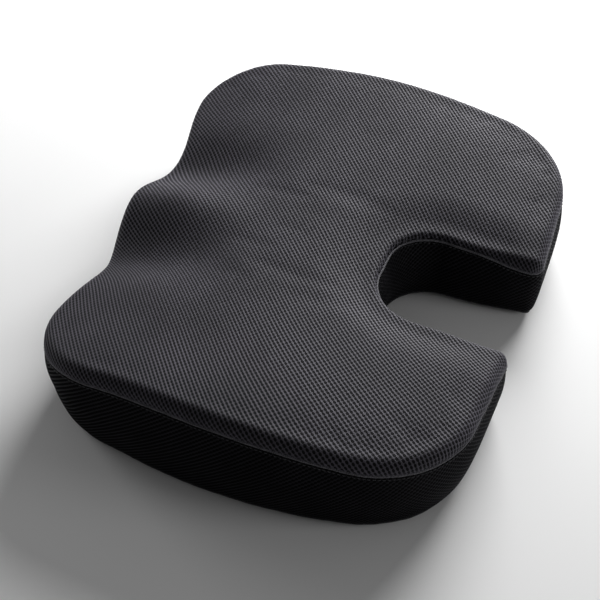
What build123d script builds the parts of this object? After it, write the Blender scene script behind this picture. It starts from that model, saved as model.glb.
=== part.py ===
"""U-shaped memory-foam seat cushion in a zipped air-mesh cover.

Origin at the middle of the base, on the seat. +Z up, -Y towards the knees, +Y towards the
backrest, where the tailbone cut-out opens. Millimetres.
"""

import os
from math import cos, exp, pi

from build123d import *

os.makedirs("parts", exist_ok=True)

# ---- plan of the cushion ----
half_width = 225
rear_y = 172
piping_out = 1.0
zip_proud = 3.4
front_y = -(rear_y + piping_out - zip_proud)
front_corner_x = 209
rear_corner_x = 210
widest_y = 8
front_corner_round = 70
rear_corner_round = 84

# ---- tailbone cut-out ----
cutout_end_y = 55
cutout_half_end = 52
cutout_half_mouth = 53
cutout_end_round = 41
cutout_mouth_round = 14

# ---- heights of the seat surface ----
seat_height = 85
rear_height = 70
front_height = 77
rear_slope_start = -52
rear_slope_length = 230
front_slope_start = -175
front_slope_length = 110
hump_rise = 8
hump_reach = 30
groove_depth = 10
groove_x = 60
groove_reach = 31
flank_rise = 11
lip_drop = 8
lip_start = -112
lip_length = 80
above_all = 140

# net of points that the seat surface is drawn through, a little wider than the cushion
net_half_width = 240
net_half_depth = 190
net_columns = 14
net_rows = 10

# ---- layers and edges ----
cover_thickness = 3
liner_thickness = 1
top_round = 13
bottom_round = 12
seam_drop = 16
bottom_seam_z = 6
piping_height = 2.4

# ---- zip in the front wall ----
zip_z = 26
zip_half_window = 6
zip_half_length = 130
zip_zone_reach = 20
zip_gap = 0.5
tape_thickness = 0.7
tooth_depth = 1.6
tooth_height = 2.5
tooth_width = 1.2
tooth_pitch = 2.4
teeth_half_length = 117
stop_inner_x = 118.5
stop_length = 2.5
slider_length = 9
slider_height = 7.6
slider_play = 0.2
slider_rest_x = 113.5
plate_thickness = 0.9
back_plate_thickness = 0.7
hinge_radius = 0.45
hinge_play = 0.06
barrel_radius = 0.85
barrel_height = 3.0
post_height = 0.8
pull_length = 24
pull_height = 6.4
pull_thickness = 0.9

# depths of the zip's layers, measured inwards from the front wall
teeth_front = -0.4
tape_front = teeth_front + tooth_depth
plate_back = teeth_front - slider_play
hinge_depth = -(zip_proud - barrel_radius)


def ease(t):
    """Smooth step from 0 to 1."""
    t = min(max(t, 0), 1)
    return (1 - cos(pi * t)) / 2


def seat_z(x, y):
    """Height of the seat: two thigh grooves and a middle hump in front, raised flanks."""
    back = seat_height + (rear_height - seat_height) * ease((y - rear_slope_start) / rear_slope_length)
    hump = hump_rise * exp(-((x / hump_reach) ** 2))
    groove = groove_depth * exp(-(((abs(x) - groove_x) / groove_reach) ** 2))
    front = front_height + hump - groove
    lip = lip_drop * ease((lip_start - y) / lip_length)
    flank = flank_rise * (x / half_width) ** 2
    return front + (back - front) * ease((y - front_slope_start) / front_slope_length) + flank - lip


def below_seat(drop):
    """Everything that lies more than drop below the seat surface."""
    across = [net_half_width * (2 * i / net_columns - 1) for i in range(net_columns + 1)]
    along = [net_half_depth * (2 * j / net_rows - 1) for j in range(net_rows + 1)]
    net = [[Vector(x, y, seat_z(x, y) - drop) for y in along] for x in across]
    surface = Face.make_surface_from_array_of_points(net)
    with BuildPart() as region:
        extrude(surface, amount=above_all, dir=(0, 0, -1))
    return region.part


def plan(inset):
    """Outline of the cushion seen from above, drawn in by inset."""
    with BuildSketch() as outline:
        with BuildLine():
            Line((-front_corner_x, front_y), (front_corner_x, front_y))
            ThreePointArc((front_corner_x, front_y), (half_width, widest_y), (rear_corner_x, rear_y))
            Line((rear_corner_x, rear_y), (-rear_corner_x, rear_y))
            ThreePointArc((-rear_corner_x, rear_y), (-half_width, widest_y), (-front_corner_x, front_y))
        make_face()
        fillet(outline.vertices().group_by(Axis.Y)[0], radius=front_corner_round)
        fillet(outline.vertices().group_by(Axis.Y)[-1], radius=rear_corner_round)
        with BuildLine():
            Polyline(
                (cutout_half_mouth, rear_y),
                (cutout_half_end, cutout_end_y),
                (-cutout_half_end, cutout_end_y),
                (-cutout_half_mouth, rear_y),
                close=True,
            )
        make_face(mode=Mode.SUBTRACT)
        end_corners = outline.vertices().filter_by(lambda v: abs(v.Y - cutout_end_y) < 1)
        fillet(end_corners, radius=cutout_end_round)
        mouth_corners = outline.vertices().group_by(Axis.Y)[-1].sort_by(lambda v: abs(v.X))[:2]
        fillet(mouth_corners, radius=cutout_mouth_round)
        if inset:
            offset(amount=-inset)
    return outline.sketch


def cushion(inset):
    """The whole cushion with rounded edges, drawn in all over by inset."""
    with BuildPart() as body:
        with BuildSketch(Plane.XY.offset(inset)):
            add(plan(inset))
        extrude(amount=above_all)
        add(below_seat(inset), mode=Mode.INTERSECT)
        top = body.faces().sort_by(Axis.Z)[-1]
        fillet(top.edges(), radius=top_round - inset)
        base = body.faces().sort_by(Axis.Z)[0]
        fillet(base.edges(), radius=bottom_round - inset)
    return body.part


def slab(low_z, high_z):
    """A level slice of space wide enough to hold the cushion."""
    with BuildPart() as slice_block:
        with BuildSketch(Plane.XY.offset(low_z)):
            Rectangle(3 * half_width, 3 * half_width)
        extrude(amount=high_z - low_z)
    return slice_block.part


def front_block(x_low, x_high, depth_low, depth_high, z_low, z_high):
    """A block in the front wall; depths run inwards from the wall's outer face."""
    with BuildPart() as block:
        with BuildSketch(Plane.XY.offset(z_low)):
            with Locations(((x_low + x_high) / 2, front_y + (depth_low + depth_high) / 2)):
                Rectangle(x_high - x_low, depth_high - depth_low)
        extrude(amount=z_high - z_low)
    return block.part


def zip_zone(z_low, z_high):
    """The stretch of front wall that holds the zip, between two heights."""
    return front_block(-zip_half_length, zip_half_length, -zip_zone_reach, zip_zone_reach, z_low, z_high)


def save(piece, name):
    """Label one finished piece and write it to its own file."""
    piece.part.label = name
    export_step(piece.part, f"parts/{name}.step")
    print(name, round(piece.part.volume), piece.part.is_valid)


outer_body = cushion(0)
liner_body = cushion(cover_thickness)
core_body = cushion(cover_thickness + liner_thickness)
piping_body = cushion(-piping_out)
band_region = below_seat(seam_drop)
base_region = slab(-above_all, bottom_seam_z)
window_low = zip_z - zip_half_window
window_high = zip_z + zip_half_window
zip_panel_region = zip_zone(0, above_all)
above_zip = zip_zone(window_high, above_all)
below_zip = zip_zone(0, window_low)

# ---- filling ----
with BuildPart() as foam_core:
    add(core_body)
save(foam_core, "foam_core")

with BuildPart() as foam_liner:
    add(liner_body)
    add(core_body, mode=Mode.SUBTRACT)
save(foam_liner, "foam_liner")

# ---- cover ----
with BuildPart() as cover:
    add(outer_body)
    add(liner_body, mode=Mode.SUBTRACT)

with BuildPart() as top_panel:
    add(cover.part)
    add(band_region, mode=Mode.SUBTRACT)
save(top_panel, "top_panel")

with BuildPart() as bottom_panel:
    add(cover.part)
    add(base_region, mode=Mode.INTERSECT)
save(bottom_panel, "bottom_panel")

with BuildPart() as wall_ring:
    add(cover.part)
    add(band_region, mode=Mode.INTERSECT)
    add(base_region, mode=Mode.SUBTRACT)

with BuildPart() as side_band:
    add(wall_ring.part)
    add(zip_panel_region, mode=Mode.SUBTRACT)
save(side_band, "side_band")

with BuildPart() as zip_band_upper:
    add(wall_ring.part)
    add(above_zip, mode=Mode.INTERSECT)
save(zip_band_upper, "zip_band_upper")

with BuildPart() as zip_band_lower:
    add(wall_ring.part)
    add(below_zip, mode=Mode.INTERSECT)
save(zip_band_lower, "zip_band_lower")

# ---- piping along both seams ----
with BuildPart() as piping_shell:
    add(piping_body)
    add(outer_body, mode=Mode.SUBTRACT)

with BuildPart() as top_piping:
    add(piping_shell.part)
    add(below_seat(seam_drop - piping_height / 2), mode=Mode.INTERSECT)
    add(below_seat(seam_drop + piping_height / 2), mode=Mode.SUBTRACT)
save(top_piping, "top_piping")

with BuildPart() as bottom_piping:
    add(piping_shell.part)
    add(slab(bottom_seam_z - piping_height / 2, bottom_seam_z + piping_height / 2), mode=Mode.INTERSECT)
save(bottom_piping, "bottom_piping")

# ---- zip tapes, teeth, stops and end patches ----
tape_back = tape_front + tape_thickness
tooth_reach = zip_gap + tooth_height
teeth_x = [
    -teeth_half_length + tooth_pitch * i
    for i in range(int(2 * teeth_half_length / tooth_pitch) + 1)
]


def tape(z_low, z_high, name):
    """One woven half of the zip."""
    with BuildPart() as strip:
        add(front_block(-zip_half_length, zip_half_length, tape_front, tape_back, z_low, z_high))
    save(strip, name)


def tooth_row(z_low, name):
    """One row of teeth; each tooth is a separate solid with a rounded front."""
    with BuildPart() as row:
        with BuildSketch(Plane.XY.offset(z_low)):
            with Locations([(x, front_y + teeth_front + tooth_depth / 2) for x in teeth_x]):
                Rectangle(tooth_width, tooth_depth)
        extrude(amount=tooth_height)
        front_edges = row.edges().filter_by(Axis.Z).group_by(Axis.Y)[0]
        fillet(front_edges, radius=tooth_width / 4)
    save(row, name)


tape(zip_z + zip_gap, window_high, "upper_zip_tape")
tape(window_low, zip_z - zip_gap, "lower_zip_tape")
tooth_row(zip_z + zip_gap, "upper_zip_teeth")
tooth_row(zip_z - tooth_reach, "lower_zip_teeth")

stop_end_x = stop_inner_x + stop_length
stop_depth = teeth_front - 0.2
teeth_low_z = zip_z - tooth_reach
teeth_high_z = zip_z + tooth_reach
with BuildPart() as zip_top_stops:
    add(front_block(stop_inner_x, stop_end_x, stop_depth, tape_front, zip_z + zip_gap, teeth_high_z))
    add(front_block(stop_inner_x, stop_end_x, stop_depth, tape_front, teeth_low_z, zip_z - zip_gap))
save(zip_top_stops, "zip_top_stops")

with BuildPart() as zip_bottom_stop:
    add(front_block(-stop_end_x, -stop_inner_x, stop_depth, tape_front, teeth_low_z, teeth_high_z))
save(zip_bottom_stop, "zip_bottom_stop")

patch_depth = 0.2
patch_inner_x = stop_end_x + 1
with BuildPart() as left_zip_patch:
    add(front_block(-zip_half_length, -patch_inner_x, patch_depth, tape_front, window_low, window_high))
save(left_zip_patch, "left_zip_patch")

with BuildPart() as right_zip_patch:
    add(front_block(patch_inner_x, zip_half_length, patch_depth, tape_front, window_low, window_high))
save(right_zip_patch, "right_zip_patch")

# ---- slider: two plates joined by a web between the tapes, flanges round the teeth ----
slider_low_x = slider_rest_x - slider_length / 2
slider_high_x = slider_rest_x + slider_length / 2
slider_low_z = zip_z - slider_height / 2
slider_high_z = zip_z + slider_height / 2
plate_front = plate_back - plate_thickness
back_plate_front = tape_back + slider_play
back_plate_back = back_plate_front + back_plate_thickness
flange_thickness = slider_height / 2 - tooth_reach - slider_play
flange_back = tape_front - slider_play
web_half_height = zip_gap - slider_play
flange_inset = 2
plate_corner = 2
web_length = 2.5
web_inset = 0.5
hinge_y = front_y + hinge_depth
post_inner_z = barrel_height / 2 + slider_play
post_reach = 0.8

with BuildPart() as zip_slider:
    with BuildSketch(Plane.XZ.offset(-(front_y + plate_back))):
        with Locations((slider_rest_x, zip_z)):
            RectangleRounded(slider_length, slider_height, radius=plate_corner)
    extrude(amount=plate_thickness)
    with BuildSketch(Plane.XZ.offset(-(front_y + back_plate_back))):
        with Locations((slider_rest_x, zip_z)):
            RectangleRounded(slider_length, slider_height, radius=plate_corner)
    extrude(amount=back_plate_thickness)
    for flange_z in (slider_low_z, slider_high_z - flange_thickness):
        add(
            front_block(
                slider_low_x + flange_inset,
                slider_high_x - flange_inset,
                plate_back - plate_thickness / 2,
                flange_back,
                flange_z,
                flange_z + flange_thickness,
            )
        )
    add(
        front_block(
            slider_high_x - web_length,
            slider_high_x - web_inset,
            plate_back - plate_thickness / 2,
            back_plate_back,
            zip_z - web_half_height,
            zip_z + web_half_height,
        )
    )
    for post_z in (zip_z - post_inner_z - post_height, zip_z + post_inner_z):
        add(
            front_block(
                slider_rest_x - post_reach,
                slider_rest_x + post_reach,
                hinge_depth - post_reach,
                plate_back - plate_thickness / 2,
                post_z,
                post_z + post_height,
            )
        )
    with BuildSketch(Plane.XY.offset(zip_z - post_inner_z - post_height)):
        with Locations((slider_rest_x, hinge_y)):
            Circle(hinge_radius)
    extrude(amount=2 * (post_inner_z + post_height))
save(zip_slider, "zip_slider")

# ---- pull tab, hung on the slider's crossbar ----
tab_start_x = slider_rest_x - 2.6
tab_overlap = 1
tab_corner = 2.4
slot_x = tab_start_x - pull_length + 5.5
slot_length = 6
slot_height = 2.6
with BuildPart() as zip_pull:
    with BuildSketch(Plane.XY.offset(zip_z - barrel_height / 2)):
        with Locations((slider_rest_x, hinge_y)):
            Circle(barrel_radius)
    extrude(amount=barrel_height)
    add(
        front_block(
            tab_start_x - tab_overlap,
            slider_rest_x,
            -zip_proud,
            -zip_proud + pull_thickness,
            zip_z - barrel_height / 2,
            zip_z + barrel_height / 2,
        )
    )
    with BuildSketch(Plane.XZ.offset(-(front_y - zip_proud + pull_thickness))):
        with Locations((tab_start_x - pull_length / 2, zip_z)):
            RectangleRounded(pull_length, pull_height, radius=tab_corner)
        with Locations((slot_x, zip_z)):
            SlotOverall(slot_length, slot_height, mode=Mode.SUBTRACT)
    extrude(amount=pull_thickness)
    with BuildSketch(Plane.XY.offset(zip_z - barrel_height)):
        with Locations((slider_rest_x, hinge_y)):
            Circle(hinge_radius + hinge_play)
    extrude(amount=2 * barrel_height, mode=Mode.SUBTRACT)
save(zip_pull, "zip_pull")
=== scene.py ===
import math

import bmesh
import bpy
import numpy as np
from mathutils import Matrix, Vector
from mathutils.bvhtree import BVHTree


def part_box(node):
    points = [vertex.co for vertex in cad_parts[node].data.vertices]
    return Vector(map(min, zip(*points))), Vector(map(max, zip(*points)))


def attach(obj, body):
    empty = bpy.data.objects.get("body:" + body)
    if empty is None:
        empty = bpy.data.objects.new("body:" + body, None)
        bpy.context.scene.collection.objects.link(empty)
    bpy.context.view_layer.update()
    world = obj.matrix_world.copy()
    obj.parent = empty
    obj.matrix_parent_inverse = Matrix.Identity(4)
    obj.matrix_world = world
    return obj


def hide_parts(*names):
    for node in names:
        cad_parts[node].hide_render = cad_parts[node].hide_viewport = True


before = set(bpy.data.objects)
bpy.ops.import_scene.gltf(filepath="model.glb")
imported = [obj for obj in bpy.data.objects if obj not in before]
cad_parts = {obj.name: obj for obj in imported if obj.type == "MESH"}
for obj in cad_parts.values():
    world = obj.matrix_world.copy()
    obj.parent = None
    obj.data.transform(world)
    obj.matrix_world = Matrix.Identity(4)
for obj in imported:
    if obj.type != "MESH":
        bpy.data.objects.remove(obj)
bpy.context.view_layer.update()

MM = 0.001

# ---------------------------------------------------------------- sizes, in millimetres
wall_low, wall_high = (np.array(corner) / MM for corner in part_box("side_band"))
half_width = wall_high[0]
front_y, rear_y = wall_low[1], wall_high[1]
tape_high = np.array(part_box("upper_zip_tape")[1]) / MM
window_half, window_top = tape_high[0], tape_high[2]
window_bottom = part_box("lower_zip_tape")[0][2] / MM

front_corner = (half_width - 16, front_y, 70)
flank_bulge = (half_width + 5, 18, 560)
rear_corner = (half_width - 14.5, rear_y - 2.5, 88)
cutout_mouth = (51, rear_y + 6, 10)
cutout_end = (52.5, 54.5, 41)
outline_spacing, normal_smoothing = 0.8, 6

seat_height = 85
rear_height = 70
rear_slope_start, rear_slope_length = -52, 230
front_height = 77
front_slope_start, front_slope_length = -175, 110
hump_rise, hump_reach = 9, 28
groove_depth, groove_x, groove_reach = 10, 60, 30
relief_end, relief_fade = -140, 95
flank_rise = 11
dish_depth, dish_reach = 3.5, 45
lip_drop = 8
lip_start, lip_length = -112, 80
scallop_depth, scallop_x, scallop_reach = 10, 83, 41
scallop_start, scallop_fade = -60, 90
scallop_foot, scallop_height = 34, 24
front_lean = 4.0

top_round, cutout_round = 10, 4.5
base_round = 12
seam_drop, cutout_seam_drop = 12, 6
cutout_reach, cutout_fade = 74, 18
inner_lead, inner_fade = 35, 20
mouth_fade_y, mouth_fade = 118, 45
base_seam_z = 5
seam_gap = 1.2
tuck_depth, tuck_fade = 3.0, 2
wall_taper = 2.5
corner_taper_x, corner_taper_y, corner_taper_reach = 205, 125, 52
front_corner_taper, rear_corner_taper = 6, 3.5
rear_taper, rear_blend = 1.6, 30
mouth_bulge, mouth_x, mouth_reach = 2.2, 55, 90
cutout_flare = 3.0
wall_bulge, bulge_power = 4.0, 1.15
pucker_height, pucker_pitch, pucker_reach = 0.7, 5.6, 5.0
pucker_end, pucker_fade = 22, 20
pucker_waver, pucker_waver_rate = 0.8, 1.8
window_fade, window_foot_fade, front_band = 16, 4, 2
base_cloth_z = 0.5
sliver_size, weld_distance = 0.02, 0.001

hole_step_across, hole_step_along = 2.37, 2.09
hole_depth = 0.75
hole_shape = (0.80, 1.14)
skew, skew_reach, front_press, press_blend = 0.0013, 160, 0.10, 30


# ---------------------------------------------------------------- small helpers
def ease(t):
    """Smooth step from 0 to 1."""
    t = np.clip(t, 0, 1)
    return (1 - np.cos(np.pi * t)) / 2


def unit(v):
    return v / np.maximum(np.linalg.norm(v, axis=-1, keepdims=True), 1e-12)


def rounded_outline(corners, spacing, arc_steps=32):
    """Closed anticlockwise line round corners (x, y, radius), sampled evenly, and its length."""
    points = []
    count = len(corners)
    for i in range(count):
        before = np.array(corners[i - 1][:2], float)
        corner = np.array(corners[i][:2], float)
        after = np.array(corners[(i + 1) % count][:2], float)
        radius = corners[i][2]
        back, ahead = unit(before - corner), unit(after - corner)
        half_angle = math.acos(np.clip(back @ ahead, -1, 1)) / 2
        centre = corner + unit(back + ahead) * radius / math.sin(half_angle)
        start = corner + back * radius / math.tan(half_angle) - centre
        end = corner + ahead * radius / math.tan(half_angle) - centre
        first = math.atan2(start[1], start[0])
        turn = (math.atan2(end[1], end[0]) - first + math.pi) % (2 * math.pi) - math.pi
        for k in range(arc_steps + 1):
            angle = first + turn * k / arc_steps
            points.append(centre + radius * np.array([math.cos(angle), math.sin(angle)]))
    loop = np.array(points + points[:1])
    walked = np.r_[0, np.cumsum(np.hypot(*np.diff(loop, axis=0).T))]
    even = np.linspace(0, walked[-1], int(walked[-1] / spacing), endpoint=False)
    sampled = np.c_[np.interp(even, walked, loop[:, 0]), np.interp(even, walked, loop[:, 1])]
    return sampled, walked[-1]


def mirrored(corners):
    return corners + [(-x, y, r) for x, y, r in corners[::-1]]


half_corners = [front_corner, flank_bulge, rear_corner, cutout_mouth, cutout_end]
outline, outline_length = rounded_outline(mirrored(half_corners), outline_spacing)
front_arc_x = outline[0, 0]
outline_normal = unit(np.roll(outline, -1, 0) - np.roll(outline, 1, 0))[:, ::-1] * (1, -1)
for _ in range(normal_smoothing):
    beside = np.roll(outline_normal, 1, 0) + np.roll(outline_normal, -1, 0)
    outline_normal = unit(outline_normal + beside)


def nearest_on_outline(xy, chunk=4000):
    """Nearest outline point, outward normal and signed distance, positive outside."""
    index = np.empty(len(xy), int)
    for start in range(0, len(xy), chunk):
        across, along = xy[start:start + chunk].T
        gap = (across[:, None] - outline[:, 0]) ** 2 + (along[:, None] - outline[:, 1]) ** 2
        index[start:start + chunk] = gap.argmin(1)
    normal = outline_normal[index]
    offset = xy - outline[index]
    distance = (offset * normal).sum(1)
    foot = xy - normal * distance[:, None]
    return foot, normal, distance


def seat_z(x, y):
    """Height of the seat: two thigh grooves and a middle hump in front, raised flanks."""
    back = seat_height + (rear_height - seat_height) * ease((y - rear_slope_start) / rear_slope_length)
    hump = hump_rise * np.exp(-((x / hump_reach) ** 2))
    groove = groove_depth * np.exp(-(((np.abs(x) - groove_x) / groove_reach) ** 2))
    relief = (hump - groove) * (1 - ease((y - relief_end) / relief_fade))
    lip = lip_drop * ease((lip_start - y) / lip_length)
    level = front_height + (back - front_height) * ease((y - front_slope_start) / front_slope_length)
    from_cutout = np.hypot(x, np.minimum(y - cutout_end[1] - cutout_end[2], 0)) - cutout_end[0]
    dish = dish_depth * (1 - ease(from_cutout / dish_reach))
    return level + relief + flank_rise * (x / half_width) ** 2 - lip - dish


def scalloped(points):
    """Leans the front wall out, and draws it in where the thigh grooves meet it."""
    x, y, z = points.T
    near_front = ease((scallop_start - y) / scallop_fade) * ease((z - scallop_foot) / scallop_height)
    drawn_in = scallop_depth * np.exp(-(((np.abs(x) - scallop_x) / scallop_reach) ** 2)) - front_lean
    moved = points.copy()
    moved[:, 1] += drawn_in * near_front
    return moved


def in_cutout(foot):
    """1 round the cut-out's inner end, fading to 0 towards its mouth."""
    x, y = np.abs(foot[:, 0]), foot[:, 1]
    behind_end = ease((y - cutout_end[1] + inner_lead) / inner_fade)
    before_mouth = 1 - ease((y - mouth_fade_y) / mouth_fade)
    return behind_end * before_mouth * ease((cutout_reach - x) / cutout_fade)


def roll_radius(foot):
    """Radius of the top panel's roll-over, tighter in the cut-out."""
    return top_round + (cutout_round - top_round) * in_cutout(foot)


def drop_to_seam(foot):
    return seam_drop + (cutout_seam_drop - seam_drop) * in_cutout(foot)


def top_seam_z(foot, normal):
    rim = foot - normal * roll_radius(foot)[:, None]
    return seat_z(rim[:, 0], rim[:, 1]) - drop_to_seam(foot)


def pucker(foot, above_seam):
    """Small gathers in the cloth beside the seam, where it goes round the cut-out's inner end."""
    end_radius = cutout_end[2]
    end_y = cutout_end[1] + end_radius
    along = np.arctan2(foot[:, 0], end_y - foot[:, 1]) * end_radius / pucker_pitch
    place = in_cutout(foot) * ease((end_y + pucker_end - foot[:, 1]) / pucker_fade)
    close = np.exp(-((above_seam / pucker_reach) ** 2))
    waver = pucker_waver * np.sin(pucker_waver_rate * along)
    return pucker_height * place * close * np.sin(2 * np.pi * along + waver)


# ---------------------------------------------------------------- cloth laid on the shape
def lay_top(uv):
    """Cloth of the top panel: it follows the seat, rolls over the rim and turns in at the seam."""
    foot, normal, distance = nearest_on_outline(uv)
    radius = roll_radius(foot)
    beyond_rim = distance + radius
    rim = foot - normal * radius[:, None]
    rim_z = seat_z(rim[:, 0], rim[:, 1])
    angle = np.clip(beyond_rim / radius, 0, math.pi / 2)
    straight = np.clip(beyond_rim - radius * math.pi / 2, 0, None)
    to_seam = drop_to_seam(foot) - radius - seam_gap / 2
    tuck = np.clip(straight - to_seam, 0, tuck_depth)
    flat = beyond_rim <= 0
    above_seam = np.clip(radius * math.pi / 2 + to_seam - beyond_rim, 0, None)
    stand_out = radius * np.sin(angle) - tuck + pucker(foot, above_seam)
    xy = np.where(flat[:, None], uv, rim + normal * stand_out[:, None])
    z_roll = rim_z - radius * (1 - np.cos(angle)) - np.minimum(straight, to_seam)
    z = np.where(flat, seat_z(uv[:, 0], uv[:, 1]), z_roll)
    return scalloped(np.c_[xy, z]), tuck


def at_rear(foot):
    """1 on the rear ends of the two lobes, fading to 0 along the flanks and the cut-out."""
    return ease((foot[:, 1] - rear_y + rear_blend) / rear_blend)


def at_mouth(foot):
    """1 on the rear ends beside the cut-out's mouth, fading to 0 towards the outer corners."""
    return at_rear(foot) * (1 - ease((np.abs(foot[:, 0]) - mouth_x) / mouth_reach))


def wall_lean(foot):
    """How far the wall leans in at its foot: more at the corners and rear, less in the cut-out."""
    across = (np.abs(foot[:, 0]) - corner_taper_x) / corner_taper_reach
    along = (np.abs(foot[:, 1]) - corner_taper_y) / corner_taper_reach
    depth = np.where(foot[:, 1] < 0, front_corner_taper, rear_corner_taper)
    corner = depth * np.exp(-(across**2) - along**2)
    flare = cutout_flare * in_cutout(foot) * (1 - at_rear(foot))
    return wall_taper + corner + rear_taper * at_rear(foot) - flare


def wall_offset(z, seam_z, foot):
    """How far the wall stands out of the outline at height z; it rolls under at the base."""
    rise = np.clip((z - base_seam_z) / (seam_z - base_seam_z), 0, 1)
    below_round = np.clip(base_round - z, 0, base_round)
    rolled_in = base_round - np.sqrt(base_round**2 - below_round**2)
    bulge = wall_bulge + (mouth_bulge - wall_bulge) * at_mouth(foot)
    return bulge * np.sin(np.pi * rise) ** bulge_power - wall_lean(foot) * (1 - rise) - rolled_in


def at_arc(s):
    """Outline point and normal at arc length s."""
    place = (s / outline_length * len(outline)) % len(outline)
    low = np.floor(place).astype(int) % len(outline)
    high = (low + 1) % len(outline)
    part = (place - np.floor(place))[:, None]
    foot = outline[low] * (1 - part) + outline[high] * part
    normal = unit(outline_normal[low] * (1 - part) + outline_normal[high] * part)
    return foot, normal


def front_arc(x):
    """Arc length at which the outline passes x on its straight front."""
    return outline_length - (front_arc_x - x)


def at_window(foot):
    """1 along the zip's window, where the wall is flat, fading to 0 beside it."""
    beside = ease((np.abs(foot[:, 0]) - window_half) / window_fade)
    on_front = foot[:, 1] < front_y + front_band
    return np.where(on_front, 1 - beside, 0)


def lay_wall(uv):
    """Cloth of the wall: u runs along the outline, v is the height; both edges turn in."""
    foot, normal = at_arc(uv[:, 0])
    top_z = top_seam_z(foot, normal) - seam_gap / 2
    low_z = base_seam_z + seam_gap / 2
    tuck = np.clip(uv[:, 1] - top_z, 0, tuck_depth) + np.clip(low_z - uv[:, 1], 0, tuck_depth)
    z = np.clip(uv[:, 1], low_z, top_z)
    flat = at_window(foot) * ease((z - base_round) / window_foot_fade)
    stand_out = wall_offset(z, top_z, foot) * (1 - flat) + pucker(foot, top_z - z)
    xy = foot + normal * (stand_out - tuck)[:, None]
    return scalloped(np.c_[xy, z]), tuck


def lay_base(uv):
    """Cloth of the underside: flat where it rests, rolled up to the lower seam and turned in."""
    foot, normal, distance = nearest_on_outline(uv)
    round_angle = math.acos(1 - (base_seam_z - seam_gap / 2) / base_round)
    taper = wall_lean(foot)
    rim = foot - normal * (base_round + taper)[:, None]
    beyond_rim = distance + base_round + taper
    angle = np.clip(beyond_rim / base_round, 0, round_angle)
    tuck = np.clip(beyond_rim - base_round * round_angle, 0, tuck_depth)
    flat = beyond_rim <= 0
    xy = np.where(flat[:, None], uv, rim + normal * (base_round * np.sin(angle) - tuck)[:, None])
    z = np.where(flat, 0, base_round * (1 - np.cos(angle)))
    return np.c_[xy, np.maximum(z, base_cloth_z)], tuck


class HoleLattice:
    """Staggered holes in a flat cloth: each is a pit of eight triangles between four crossings."""

    def __init__(self, low, high, step):
        self.low, self.step = np.array(low, float), np.array(step, float)
        columns, rows = (int(round(n)) for n in (np.array(high) - low) / step)
        self.columns, self.rows = columns, rows
        crossings = np.meshgrid(np.arange(columns + 1), np.arange(rows + 1), indexing="ij")
        threads = np.meshgrid(np.arange(columns) + 0.5, np.arange(rows) + 0.5, indexing="ij")
        grid = [np.stack(part, -1).reshape(-1, 2) for part in (crossings, threads)]
        self.ij = np.concatenate(grid)
        self.is_hole = (self.ij.sum(1) % 2 == 0) & (self.ij[:, 0] % 1 == 0)
        i, j = np.meshgrid(np.arange(1, columns), np.arange(1, rows), indexing="ij")
        even = (i + j) % 2 == 0
        i, j = i[even], j[even]
        ring = [
            self.crossing(i + 1, j), self.thread(i, j),
            self.crossing(i, j + 1), self.thread(i - 1, j),
            self.crossing(i - 1, j), self.thread(i - 1, j - 1),
            self.crossing(i, j - 1), self.thread(i, j - 1),
        ]
        self.centre = self.crossing(i, j)
        triangles = [np.stack([self.centre, a, b], 1) for a, b in zip(ring, ring[1:] + ring[:1])]
        self.pits = np.stack(triangles, 1)
        self.uv = self.low + self.ij * self.step

    def crossing(self, i, j):
        return i * (self.rows + 1) + j

    def thread(self, i, j):
        first = (self.columns + 1) * (self.rows + 1)
        return first + i * self.rows + j

    def weave(self, uv):
        """Coordinates in which every hole lies at a pair of whole numbers."""
        i, j = ((uv - self.low) / self.step).T
        return np.c_[(i + j) / 2, (i - j) / 2, np.zeros(len(uv))]


def vertex_normals(points, faces):
    corners = points[faces]
    face_normal = np.cross(corners[:, 1] - corners[:, 0], corners[:, 2] - corners[:, 0])
    total = np.zeros_like(points)
    for k in range(3):
        np.add.at(total, faces[:, k], face_normal)
    return unit(total)


def make_mesh(name, points, faces, attributes=()):
    """An object from points in millimetres and faces of three or four corners each."""
    used = np.unique(faces)
    place = np.full(len(points), -1)
    place[used] = np.arange(len(used))
    faces = place[faces]
    sides = faces.shape[1]
    mesh = bpy.data.meshes.new(name)
    mesh.vertices.add(len(used))
    mesh.vertices.foreach_set("co", (points[used] * MM).ravel())
    mesh.loops.add(faces.size)
    mesh.loops.foreach_set("vertex_index", faces.ravel())
    mesh.polygons.add(len(faces))
    mesh.polygons.foreach_set("loop_start", np.arange(0, faces.size, sides))
    mesh.polygons.foreach_set("use_smooth", np.full(len(faces), True))
    mesh.update(calc_edges=True)
    for label, values in attributes:
        layer = mesh.attributes.new(label, "FLOAT_VECTOR", "POINT")
        layer.data.foreach_set("vector", values[used].ravel())
    mesh.validate()
    piece = bpy.data.objects.new(name, mesh)
    bpy.context.scene.collection.objects.link(piece)
    return piece


def drop_slivers(piece):
    """Removes the flattened triangles left where a lattice was cut at an edge."""
    bm = bmesh.new()
    bm.from_mesh(piece.data)
    bmesh.ops.dissolve_degenerate(bm, dist=sliver_size * MM, edges=bm.edges)
    bmesh.ops.delete(bm, geom=[v for v in bm.verts if not v.link_faces], context="VERTS")
    for face in bm.faces:
        face.smooth = True
    bm.to_mesh(piece.data)
    bm.free()


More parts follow.
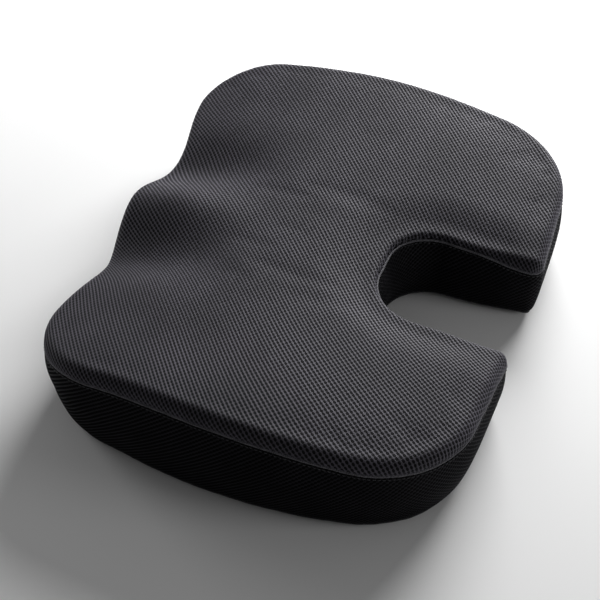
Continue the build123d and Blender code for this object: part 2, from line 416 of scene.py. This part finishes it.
def mesh_cloth(name, lay, lattice, keep, depth, limits=None):
    """A piece of air mesh: the lattice laid on the shape, swollen by the foam, with its pits."""
    uv = lattice.uv
    pitted = lattice.is_hole.astype(float)
    if limits is not None:
        pitted *= np.all((uv > limits[0]) & (uv < limits[1]), axis=1)
        uv = np.clip(uv, *limits)
    faces = lattice.pits[keep(lattice.uv[lattice.centre])].reshape(-1, 3)
    used = np.unique(faces)
    points, tuck = np.zeros((len(uv), 3)), np.zeros(len(uv))
    points[used], tuck[used] = lay(uv[used])
    free = 1 - np.clip(tuck / tuck_fade, 0, 1)
    points[used] += swelling(points[used]) * free[used, None]
    points -= vertex_normals(points, faces) * (pitted * depth * free)[:, None]
    piece = make_mesh(name, points, faces, [("weave", lattice.weave(uv))])
    if limits is not None:
        drop_slivers(piece)
    return piece


def beneath_cover(points, gap):
    """Draws points in until they lie at least gap inside the cover."""
    foot, normal, distance = nearest_on_outline(points[:, :2])
    radius = roll_radius(foot)
    rim = foot - normal * radius[:, None]
    rolled = np.clip(distance + radius, 0, radius)
    beyond = distance > -radius
    over = np.where(beyond[:, None], rim, points[:, :2])
    roof = seat_z(over[:, 0], over[:, 1]) - radius + np.sqrt(radius**2 - rolled**2) - gap
    z = np.clip(points[:, 2], gap, roof)
    limit = wall_offset(z, top_seam_z(foot, normal), foot) - gap
    limit = np.where(at_window(foot) > 0, np.minimum(limit, -gap), limit)
    xy = np.where((distance > limit)[:, None], foot + normal * limit[:, None], points[:, :2])
    return scalloped(np.c_[xy, z])


# ---------------------------------------------------------------- foam, swollen by cloth simulation
def link_copy(source, name):
    piece = bpy.data.objects.new(name, source.data.copy())
    bpy.context.scene.collection.objects.link(piece)
    return piece


def apply_modifiers(piece):
    depsgraph = bpy.context.evaluated_depsgraph_get()
    mesh = bpy.data.meshes.new_from_object(piece.evaluated_get(depsgraph))
    piece.modifiers.clear()
    piece.data = mesh


def points_of(mesh):
    flat = np.empty(len(mesh.vertices) * 3)
    mesh.vertices.foreach_get("co", flat)
    return flat.reshape(-1, 3) / MM


def set_points(mesh, points):
    mesh.vertices.foreach_set("co", (points * MM).ravel())
    mesh.update()


def seam_hold(points):
    """1 where the seams hold the foam in, 0 where it is free to swell."""
    foot, normal, distance = nearest_on_outline(points[:, :2])
    off_seam = points[:, 2] - top_seam_z(foot, normal)
    at_wall = ease((distance + hold_depth) / hold_fade)
    at_top_seam = at_wall * np.exp(-((off_seam / hold_reach) ** 2))
    at_base = np.clip(1 - (points[:, 2] - base_seam_z) / hold_reach, 0, 1)
    return np.maximum(at_top_seam, at_base)


hold_depth, hold_fade, hold_reach = 16, 10, 7.5
foam_gap, liner_gap = 4.5, 3.5
sim_voxel = 5
sim_pressure = 4.0
sim_frames = 20
swell_cap = 5.0
swell_share = 0.8
foam_share = 0.3

foam = link_copy(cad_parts["foam_core"], "foam_block")
remesh = foam.modifiers.new("remesh", "REMESH")
remesh.mode = "VOXEL"
remesh.voxel_size = sim_voxel * MM
remesh.use_smooth_shade = True
apply_modifiers(foam)
foam_polygons = [list(f.vertices) for f in foam.data.polygons]
rest_points = points_of(foam.data)
rest_tree = BVHTree.FromPolygons([Vector(p) for p in rest_points], foam_polygons)
swell = np.zeros_like(rest_points)

held = foam.vertex_groups.new(name="held")
for index, weight in enumerate(seam_hold(rest_points)):
    held.add([index], float(weight), "REPLACE")
cloth = foam.modifiers.new("cloth", "CLOTH")
settings = cloth.settings
settings.use_pressure = True
settings.uniform_pressure_force = sim_pressure
settings.tension_stiffness = settings.compression_stiffness = 40
settings.shear_stiffness = 20
settings.bending_stiffness = 4
settings.effector_weights.gravity = 0
settings.vertex_group_mass = "held"
settings.pin_stiffness = 1
cloth.point_cache.frame_start, cloth.point_cache.frame_end = 1, sim_frames
for step in range(1, sim_frames + 1):
    bpy.context.scene.frame_set(step)
apply_modifiers(foam)
bpy.context.scene.frame_set(1)
swell = points_of(foam.data) - rest_points
length = np.linalg.norm(swell, axis=1, keepdims=True)
swell *= swell_cap * np.tanh(length / swell_cap) / np.maximum(length, 1e-9)


def swelling(points):
    """The foam's swelling at each point, read from the simulated block."""
    moved = np.zeros_like(points)
    for index, point in enumerate(points):
        face = rest_tree.find_nearest(Vector(point))[2]
        corners = foam_polygons[face]
        weights = 1 / (np.linalg.norm(rest_points[corners] - point, axis=1) ** 2 + 1)
        moved[index] = weights @ swell[corners] / weights.sum()
    return moved * swell_share


set_points(foam.data, beneath_cover(rest_points + swell * foam_share, foam_gap))
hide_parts("foam_core")
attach(foam, "cushion")


# ---------------------------------------------------------------- materials
def new_material(name, slots):
    """A material with its shader; slots are the shader's plain values."""
    material = bpy.data.materials.new(name)
    material.use_nodes = True
    shader = material.node_tree.nodes["Principled BSDF"]
    for key, value in slots.items():
        shader.inputs[key].default_value = value
    return material, material.node_tree, shader


def node(tree, kind, inputs=(), **settings):
    """Adds a node, sets its settings, and links or sets its inputs by position or name."""
    made = tree.nodes.new(kind)
    for key, value in settings.items():
        setattr(made, key, value)
    for key, value in dict(inputs).items():
        if isinstance(value, bpy.types.NodeSocket):
            tree.links.new(value, made.inputs[key])
        else:
            made.inputs[key].default_value = value
    return made


def math_node(tree, operation, *values):
    return node(tree, "ShaderNodeMath", dict(enumerate(values)), operation=operation).outputs[0]


def noise_node(tree, place, scale, detail):
    inputs = {"Vector": place, "Scale": scale, "Detail": detail}
    return node(tree, "ShaderNodeTexNoise", inputs).outputs[0]


def blend_node(tree, first, first_share, second, second_share):
    first_part = math_node(tree, "MULTIPLY", first, first_share)
    second_part = math_node(tree, "MULTIPLY", second, second_share)
    return math_node(tree, "ADD", first_part, second_part)


def bump_node(tree, strength, distance, height):
    inputs = {"Strength": strength, "Distance": distance, "Height": height}
    return node(tree, "ShaderNodeBump", inputs).outputs[0]


def remap(tree, value, low, high, out_low=0.0, out_high=1.0):
    inputs = {0: value, 1: low, 2: high, 3: out_low, 4: out_high}
    made = node(tree, "ShaderNodeMapRange", inputs, interpolation_type="SMOOTHSTEP")
    return made.outputs[0]


def mix_colour(tree, factor, first, second):
    made = node(tree, "ShaderNodeMix", {}, data_type="RGBA")
    for key, value in ((0, factor), (6, first), (7, second)):
        if isinstance(value, bpy.types.NodeSocket):
            tree.links.new(value, made.inputs[key])
        else:
            made.inputs[key].default_value = value
    return made.outputs[2]


def air_mesh_material(name, thread, thread_light, hole, hole_radius, sheen, gloss):
    """Knitted air mesh: holes between threads, on the weave coordinates; the holes' near-black colour is
    painted shade standing in for their depth.
    """
    unevenness, edge_width = 0.08, 0.13
    material, tree, shader = new_material(
        name,
        {"Roughness": 0.72, "Sheen Weight": sheen, "Sheen Roughness": 0.45,
         "Sheen Tint": (0.74, 0.71, 0.84, 1), "Specular IOR Level": gloss},
    )
    weave = node(tree, "ShaderNodeAttribute", attribute_name="weave").outputs["Vector"]
    parts = node(tree, "ShaderNodeSeparateXYZ", {0: weave})
    offsets = []
    for axis in (0, 1):
        nearest = math_node(tree, "ROUND", parts.outputs[axis])
        offsets.append(math_node(tree, "SUBTRACT", parts.outputs[axis], nearest))
    scaled = [math_node(tree, "MULTIPLY", part, size) for part, size in zip(offsets, hole_shape)]
    squares = [math_node(tree, "MULTIPLY", part, part) for part in scaled]
    distance = math_node(tree, "SQRT", math_node(tree, "ADD", *squares))
    uneven = noise_node(tree, weave, 1.1, 2.0)
    distance = math_node(tree, "ADD", distance, math_node(tree, "MULTIPLY", uneven, unevenness))
    threads = remap(tree, distance, hole_radius, hole_radius + edge_width)
    fibres = noise_node(tree, weave, 9.0, 3.0)
    patches = noise_node(tree, weave, 0.06, 2.0)
    light = blend_node(tree, fibres, 0.7, patches, 0.3)
    yarn = mix_colour(tree, remap(tree, light, 0.35, 0.65), thread, thread_light)
    # The holes take the near-black hole colour: painted shade for the depth of each hole, whose pit is
    # only shallow.
    colour = mix_colour(tree, threads, hole, yarn)
    tree.links.new(colour, shader.inputs["Base Color"])
    tree.links.new(remap(tree, threads, 0, 1, 0.95, 0.58), shader.inputs["Roughness"])
    height = blend_node(tree, threads, 1.0, fibres, 0.25)
    tree.links.new(bump_node(tree, 0.5, 0.0006, height), shader.inputs["Normal"])
    return material


def woven_material(name, colour, light_colour, threads_per_mm):
    """Plain weave in object coordinates."""
    material, tree, shader = new_material(
        name,
        {"Roughness": 0.8, "Sheen Weight": 0.15, "Sheen Roughness": 0.5, "Specular IOR Level": 0.25},
    )
    place = node(tree, "ShaderNodeTexCoord").outputs["Object"]
    parts = node(tree, "ShaderNodeSeparateXYZ", {0: place})
    waves = []
    for axis in (0, 1, 2):
        scaled = math_node(tree, "MULTIPLY", parts.outputs[axis], math.pi * threads_per_mm / MM)
        waves.append(math_node(tree, "SINE", scaled))
    crossed = math_node(tree, "MULTIPLY", waves[0], math_node(tree, "ADD", waves[1], waves[2]))
    fibres = noise_node(tree, place, 900.0, 3.0)
    height = blend_node(tree, remap(tree, crossed, -1, 1), 1.0, fibres, 0.5)
    tone = mix_colour(tree, remap(tree, height, 0.2, 1.2), colour, light_colour)
    tree.links.new(tone, shader.inputs["Base Color"])
    tree.links.new(remap(tree, fibres, 0.3, 0.7, 0.7, 0.9), shader.inputs["Roughness"])
    tree.links.new(bump_node(tree, 0.5, 0.0003, height), shader.inputs["Normal"])
    return material


def grained_material(name, colour, light_colour, scale, roughness, metallic=0.0, bump_height=0.0001):
    """Plastic, rubber, foam or enamel: a fine grain with a slow change of tone."""
    material, tree, shader = new_material(name, {"Roughness": roughness, "Metallic": metallic})
    place = node(tree, "ShaderNodeTexCoord").outputs["Object"]
    grain = noise_node(tree, place, scale, 4.0)
    slow = noise_node(tree, place, scale / 20, 2.0)
    light = blend_node(tree, grain, 0.5, slow, 0.5)
    tone = mix_colour(tree, remap(tree, light, 0.35, 0.65), colour, light_colour)
    tree.links.new(tone, shader.inputs["Base Color"])
    dull = remap(tree, grain, 0.3, 0.7, roughness - 0.08, roughness + 0.08)
    tree.links.new(dull, shader.inputs["Roughness"])
    tree.links.new(bump_node(tree, 0.4, bump_height, grain), shader.inputs["Normal"])
    return material


top_cloth = air_mesh_material(
    "top_air_mesh", (0.034, 0.032, 0.040, 1), (0.083, 0.078, 0.097, 1),
    (0.0015, 0.0015, 0.002, 1), hole_radius=0.36, sheen=0.10, gloss=0.20,
)
# The wall's cloth is the top's air mesh painted about six times darker: painted shade, as the walls
# stand in shade.
wall_cloth_painted_shade = air_mesh_material(
    "wall_air_mesh_painted_shade", (0.0055, 0.0055, 0.0065, 1), (0.017, 0.0165, 0.0195, 1),
    (0.0008, 0.0008, 0.001, 1), hole_radius=0.36, sheen=0.0, gloss=0.06,
)
# The top piping's binding keeps its real dark tone, and its lightened tone is a painted highlight along
# the seam. The bottom piping's binding is the same weave painted about three times darker: painted
# shade.
binding_with_painted_highlight = woven_material("binding_with_painted_highlight", (0.034, 0.034, 0.039, 1), (0.115, 0.112, 0.126, 1), 1.2)
binding_painted_shade = woven_material("binding_painted_shade", (0.010, 0.010, 0.012, 1), (0.032, 0.031, 0.035, 1), 1.2)
tape_cloth = woven_material("zip_tape_cloth", (0.010, 0.010, 0.011, 1), (0.030, 0.030, 0.033, 1), 1.6)
base_cloth = woven_material("base_cloth", (0.012, 0.012, 0.013, 1), (0.028, 0.028, 0.031, 1), 0.8)
liner_cloth = woven_material("liner_knit", (0.62, 0.61, 0.58, 1), (0.80, 0.79, 0.76, 1), 1.0)
thread_look = woven_material("stitching_thread", (0.020, 0.020, 0.023, 1), (0.060, 0.059, 0.066, 1), 2.4)
foam_look = grained_material(
    "memory_foam", (0.58, 0.53, 0.36, 1), (0.74, 0.69, 0.52, 1), 900, 0.9, bump_height=0.0006
)
nylon = grained_material("nylon", (0.012, 0.012, 0.013, 1), (0.030, 0.030, 0.033, 1), 500, 0.42)
enamel = grained_material(
    "black_enamel", (0.014, 0.014, 0.015, 1), (0.035, 0.035, 0.038, 1), 700, 0.32, metallic=0.6
)
rubber = grained_material("grip_rubber", (0.020, 0.020, 0.021, 1), (0.040, 0.040, 0.042, 1), 600, 0.6)


def finish_piece(piece, material, body="cushion", replaces=()):
    piece.data.materials.clear()
    piece.data.materials.append(material)
    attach(piece, body)
    if replaces:
        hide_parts(*replaces)


foam.data.materials.clear()
foam.data.materials.append(foam_look)

# ---------------------------------------------------------------- the cover
top_reach = np.array((280, 240))
top_lattice = HoleLattice(-top_reach, top_reach, (hole_step_across, hole_step_along))


def askew(uv):
    """The weave bends where the cloth is pulled over the +X flank, and is closer at its front."""
    across, along = uv.T
    share = ease(across / skew_reach)
    blended = np.hypot(along, press_blend)
    pulled = skew * np.maximum(across - skew_reach / 2, 0) * share * (blended + along) / 2
    pressed = front_press * share * (blended - along) / 2
    return uv + np.c_[-skew * share * along**2 / 2, pulled + pressed]


def lay_askew(uv):
    return lay_top(askew(uv))


def on_top(uv):
    foot, _, distance = nearest_on_outline(askew(uv))
    radius = roll_radius(foot)
    return distance < radius * (math.pi / 2 - 2) + drop_to_seam(foot) + tuck_depth


def on_wall(uv):
    foot, normal = at_arc(uv[:, 0])
    return (uv[:, 1] < top_seam_z(foot, normal) + tuck_depth) & (uv[:, 1] > base_seam_z - tuck_depth)


top_panel = mesh_cloth("top_panel_cloth", lay_askew, top_lattice, on_top, hole_depth)
finish_piece(top_panel, top_cloth, replaces=["top_panel"])


def wall_piece(name, node_name, first_x, last_x, low, high):
    """A length of the wall from first_x round to last_x, between two heights."""
    first, last = front_arc(first_x), front_arc(last_x)
    if last <= first:
        last += outline_length
    rows = math.ceil((high - low) / hole_step_along) + 2
    columns = math.ceil((last - first) / hole_step_across) + 2
    origin = (first - hole_step_across, low - hole_step_along)
    far = (origin[0] + columns * hole_step_across, origin[1] + rows * hole_step_along)
    lattice = HoleLattice(origin, far, (hole_step_across, hole_step_along))
    limits = ((first, low), (last, high))
    piece = mesh_cloth(name, lay_wall, lattice, on_wall, hole_depth, limits)
    finish_piece(piece, wall_cloth_painted_shade, replaces=[node_name])
    return piece


wall_foot, wall_top = base_seam_z - tuck_depth, seat_height + flank_rise
wall_piece("side_band_cloth", "side_band", window_half, -window_half, wall_foot, wall_top)
wall_piece("zip_band_upper_cloth", "zip_band_upper", -window_half, window_half, window_top, wall_top)
wall_piece("zip_band_lower_cloth", "zip_band_lower", -window_half, window_half, wall_foot, window_bottom)

base_reach, base_step = np.array((240, 200)), 4.0
base_lattice = HoleLattice(-base_reach, base_reach, (base_step, base_step))


def on_base(uv):
    return nearest_on_outline(uv)[2] < tuck_depth


base_panel = mesh_cloth("base_panel_cloth", lay_base, base_lattice, on_base, 0.0)
finish_piece(base_panel, base_cloth, replaces=["bottom_panel"])


# ---------------------------------------------------------------- grip dots on the base cloth
def grip_dots(pitch, radius, height, sides=10):
    """Low rubber domes in staggered rows over the flat of the base."""
    reach_x, reach_y = base_reach
    spots = []
    for row, y in enumerate(np.arange(-reach_y, reach_y, pitch * math.sqrt(3) / 2)):
        shift = (row % 2) * pitch / 2
        spots += [(x + shift, y) for x in np.arange(-reach_x, reach_x, pitch)]
    spots = np.array(spots)
    margin = base_round + wall_taper + radius + dot_edge
    spots = spots[nearest_on_outline(spots)[2] < -margin]
    around = np.arange(sides) * 2 * math.pi / sides
    foot, shoulder, crown = (
        (1.0, base_cloth_z + dot_sunk), (0.86, base_cloth_z - 0.6 * height), (0.5, base_cloth_z - height)
    )
    rings = [foot, shoulder, crown]
    dome = [(radius * r * math.cos(a), radius * r * math.sin(a), z) for r, z in rings for a in around]
    dome = np.array(dome + [(0, 0, base_cloth_z - height)])
    faces = []
    for ring in range(len(rings) - 1):
        for k in range(sides):
            a, b = ring * sides + k, ring * sides + (k + 1) % sides
            faces += [(a, a + sides, b), (b, a + sides, b + sides)]
    last, tip = (len(rings) - 1) * sides, len(rings) * sides
    faces += [(last + k, tip, last + (k + 1) % sides) for k in range(sides)]
    points = (dome[None] + np.c_[spots, np.zeros(len(spots))][:, None]).reshape(-1, 3)
    every = np.array(faces)[None] + (np.arange(len(spots)) * len(dome))[:, None, None]
    return make_mesh("grip_dots", points, every.reshape(-1, 3))


dot_pitch, dot_radius, dot_edge = 9.0, 2.1, 2
dot_sunk, dot_clearance = 0.05, 0.03
dots = grip_dots(dot_pitch, dot_radius, base_cloth_z - dot_clearance)
finish_piece(dots, rubber)


# ---------------------------------------------------------------- piping along the seams
def tube(name, path, outward, radius, sides=8):
    """A closed tube along path; outward points away from the cushion."""
    along = unit(np.roll(path, -1, 0) - np.roll(path, 1, 0))
    side = unit(np.cross(along, outward))
    around = np.arange(sides) * 2 * math.pi / sides
    ring = [path + radius * (math.cos(a) * outward + math.sin(a) * side) for a in around]
    points = np.stack(ring, 1).reshape(-1, 3)
    count = len(path)
    step, turn = np.meshgrid(np.arange(count), np.arange(sides), indexing="ij")
    step, turn = step.ravel(), turn.ravel()
    ahead, beside = (step + 1) % count, (turn + 1) % sides
    corners = [step * sides + turn, step * sides + beside, ahead * sides + beside, ahead * sides + turn]
    return make_mesh(name, points, np.stack(corners, 1))


def seam_path(height, stand_out):
    """Points along a seam and the outward direction at each."""
    count = int(outline_length / line_spacing)
    s = np.arange(count) * outline_length / count
    foot, normal = at_arc(s)
    z = height(foot, normal)
    uneven = sum(depth * np.sin(s / length + phase) for depth, length, phase in piping_waves)
    path = scalloped(np.c_[foot + normal * (stand_out(foot) + uneven)[:, None], z])
    return path, np.c_[normal, np.zeros(count)]


line_spacing = 1.6
piping_radius = 0.95
piping_waves = ((0.12, 7.1, 0), (0.08, 2.3, 1))
piping_sunk, cutout_piping_lift = 0.5, 1.1
top_path, top_out = seam_path(
    top_seam_z, lambda foot: cutout_piping_lift * in_cutout(foot) - piping_sunk
)
top_piping = tube("top_piping_cord", top_path, top_out, piping_radius)
finish_piece(top_piping, binding_with_painted_highlight, replaces=["top_piping"])
base_inset = base_round - math.sqrt(base_round**2 - (base_round - base_seam_z) ** 2)
base_path, base_out = seam_path(
    lambda foot, normal: np.full(len(foot), float(base_seam_z)),
    lambda foot: -base_inset - wall_lean(foot),
)
base_piping = tube("bottom_piping_cord", base_path, base_out, piping_radius)
finish_piece(base_piping, binding_painted_shade, replaces=["bottom_piping"])


# ---------------------------------------------------------------- stitching on the wall
def wall_line(s, height, lift):
    """A line on the wall's cloth over arc lengths s, and its outward direction."""
    foot, normal = at_arc(s)
    z = height(foot, normal)
    seam_z = top_seam_z(foot, normal) - seam_gap / 2
    flat = at_window(foot) * ease((z - base_round) / window_foot_fade)
    stand_out = wall_offset(z, seam_z, foot) * (1 - flat) + lift
    path = scalloped(np.c_[foot + normal * stand_out[:, None], z])
    return path + swelling(path), np.c_[normal, np.zeros(len(s))]


def stitches(name, path, outward, length, gap, radius):
    """Short raised threads along path, each dipping into the cloth at both ends."""
    sides, rings = 6, np.linspace(-1, 1, 5)
    walked = np.r_[0, np.cumsum(np.linalg.norm(np.diff(path, axis=0), axis=1))]
    middles = np.arange(length, walked[-1] - length, length + gap)
    centre, along, out = (
        np.stack([np.interp(middles, walked, part[:, k]) for k in range(3)], 1)
        for part in (path, unit(np.gradient(path, axis=0)), outward)
    )
    side = np.cross(along, out)
    turn = np.arange(sides) * 2 * math.pi / sides
    points = []
    for t in rings:
        thick = radius * math.sqrt(1 - (0.95 * t) ** 2)
        middle = centre + along * (t * length / 2) + out * (radius * (0.5 - t * t))
        points += [middle + thick * (math.cos(a) * out + math.sin(a) * side) for a in turn]
    points = np.stack(points, 1)
    faces = []
    for ring in range(len(rings) - 1):
        for k in range(sides):
            a, b = ring * sides + k, ring * sides + (k + 1) % sides
            faces.append((a, b, b + sides, a + sides))
    every = np.array(faces)[None] + (np.arange(len(points)) * points.shape[1])[:, None, None]
    return make_mesh(name, points.reshape(-1, 3), every.reshape(-1, 4))


stitch_length, stitch_gap, stitch_radius = 2.6, 1.1, 0.3
stitch_inset, stitch_lift = 3.0, 0.25

whole_seam = np.arange(0, outline_length, line_spacing)
below_seam = wall_line(
    whole_seam, lambda foot, normal: top_seam_z(foot, normal) - stitch_inset, stitch_lift
)
topstitching = stitches("topstitching", *below_seam, stitch_length, stitch_gap, stitch_radius)
finish_piece(topstitching, thread_look)
zip_ends = [front_arc(side * (window_half - stitch_inset)) for side in (-1, 1)]
along_zip = np.arange(*zip_ends, line_spacing)
zip_lines = {
    "zip_stitching_upper": window_top + stitch_inset,
    "zip_stitching_lower": window_bottom - stitch_inset,
}
for name, z in zip_lines.items():
    beside_zip = wall_line(along_zip, lambda foot, normal: np.full(len(foot), float(z)), stitch_lift)
    stitching = stitches(name, *beside_zip, stitch_length, stitch_gap, stitch_radius)
    finish_piece(stitching, thread_look)


# ---------------------------------------------------------------- liner round the foam
def drop_inner_skin(piece):
    """Leaves only the outer of a hollow piece's two skins."""
    bm = bmesh.new()
    bm.from_mesh(piece.data)
    bmesh.ops.remove_doubles(bm, verts=bm.verts, dist=weld_distance * MM)
    skins = []
    left = set(bm.verts)
    while left:
        grown, edge = set(), [left.pop()]
        while edge:
            vertex = edge.pop()
            grown.add(vertex)
            for other in (e.other_vert(vertex) for e in vertex.link_edges):
                if other in left:
                    left.discard(other)
                    edge.append(other)
        skins.append(grown)
    inner = min(skins, key=lambda part: max(v.co.x for v in part))
    bmesh.ops.delete(bm, geom=list(inner), context="VERTS")
    bm.to_mesh(piece.data)
    bm.free()


liner = link_copy(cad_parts["foam_liner"], "knitted_liner")
drop_inner_skin(liner)
remesh = liner.modifiers.new("remesh", "REMESH")
remesh.mode = "VOXEL"
remesh.voxel_size = sim_voxel * MM
remesh.use_smooth_shade = True
apply_modifiers(liner)
set_points(liner.data, beneath_cover(points_of(liner.data), liner_gap))
finish_piece(liner, liner_cloth, replaces=["foam_liner"])

# ---------------------------------------------------------------- zip, carried over from CAD
for name, look in (
    ("upper_zip_tape", tape_cloth), ("lower_zip_tape", tape_cloth),
    ("left_zip_patch", tape_cloth), ("right_zip_patch", tape_cloth),
    ("upper_zip_teeth", nylon), ("lower_zip_teeth", nylon),
    ("zip_top_stops", enamel), ("zip_bottom_stop", enamel),
    ("zip_slider", enamel), ("zip_pull", enamel),
):
    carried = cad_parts[name]
    for slot_index in range(len(carried.material_slots)):
        carried.material_slots[slot_index].material = look


# ---------------------------------------------------------------- stage, lights and camera
def stage_floor(reach=6.0):
    bm = bmesh.new()
    corners = ((-reach, -reach), (reach, -reach), (reach, reach), (-reach, reach))
    bm.faces.new([bm.verts.new((x, y, 0)) for x, y in corners])
    mesh = bpy.data.meshes.new("floor")
    bm.to_mesh(mesh)
    bm.free()
    floor = bpy.data.objects.new("floor", mesh)
    bpy.context.scene.collection.objects.link(floor)
    look = {"Base Color": (0.9, 0.9, 0.9, 1), "Roughness": 0.9}
    mesh.materials.append(new_material("pale_floor", look)[0])


light_aim_z = 0.04


def area_light(name, azimuth, elevation, distance, size, power):
    """A round light aimed at the cushion; azimuth 0 is in front of it, 90 on its +X side."""
    a, e = math.radians(azimuth), math.radians(elevation)
    back = Vector((math.sin(a) * math.cos(e), -math.cos(a) * math.cos(e), math.sin(e)))
    data = bpy.data.lights.new(name, "AREA")
    data.shape = "DISK"
    data.size, data.energy = size, power
    light = bpy.data.objects.new(name, data)
    bpy.context.scene.collection.objects.link(light)
    light.location = Vector((0, 0, light_aim_z)) + back * distance
    light.rotation_mode = "QUATERNION"
    light.rotation_quaternion = (-back).to_track_quat("-Z", "Y")


def place_camera(azimuth, elevation, distance, target, roll, half_view):
    """Aims the camera at target from a distance in metres; half_view is half the angle it sees."""
    a, e, r = (math.radians(angle) for angle in (azimuth, elevation, roll))
    back = Vector((math.sin(a) * math.cos(e), -math.cos(a) * math.cos(e), math.sin(e)))
    right = Vector((math.cos(a), math.sin(a), 0))
    up = back.cross(right)
    right, up = right * math.cos(r) + up * math.sin(r), up * math.cos(r) - right * math.sin(r)
    data = bpy.data.cameras.new("camera")
    data.sensor_width = 36
    data.lens = data.sensor_width / 2 / math.tan(half_view)
    camera = bpy.data.objects.new("camera", data)
    bpy.context.scene.collection.objects.link(camera)
    turn = Matrix((right, up, back)).transposed().to_4x4()
    camera.matrix_world = Matrix.Translation(Vector(target) + back * distance) @ turn
    bpy.context.scene.camera = camera


stage_floor()
place_camera(
    azimuth=109.5, elevation=44.2, distance=1.28,
    target=(0.0224, -0.0096, 0.0289), roll=1.28, half_view=math.radians(11.208),
)

world = bpy.data.worlds.new("studio")
bpy.context.scene.world = world
bpy.context.scene.view_settings.view_transform = "Standard"
world.use_nodes = True
background = world.node_tree.nodes["Background"]
background.inputs["Color"].default_value = (1, 1, 1, 1)
background.inputs["Strength"].default_value = 0.13
area_light("key", azimuth=264, elevation=27, distance=1.5, size=1.1, power=45)
area_light("side", azimuth=182, elevation=18, distance=2.0, size=0.7, power=6)
area_light("fill", azimuth=345, elevation=14, distance=2.0, size=0.8, power=8)
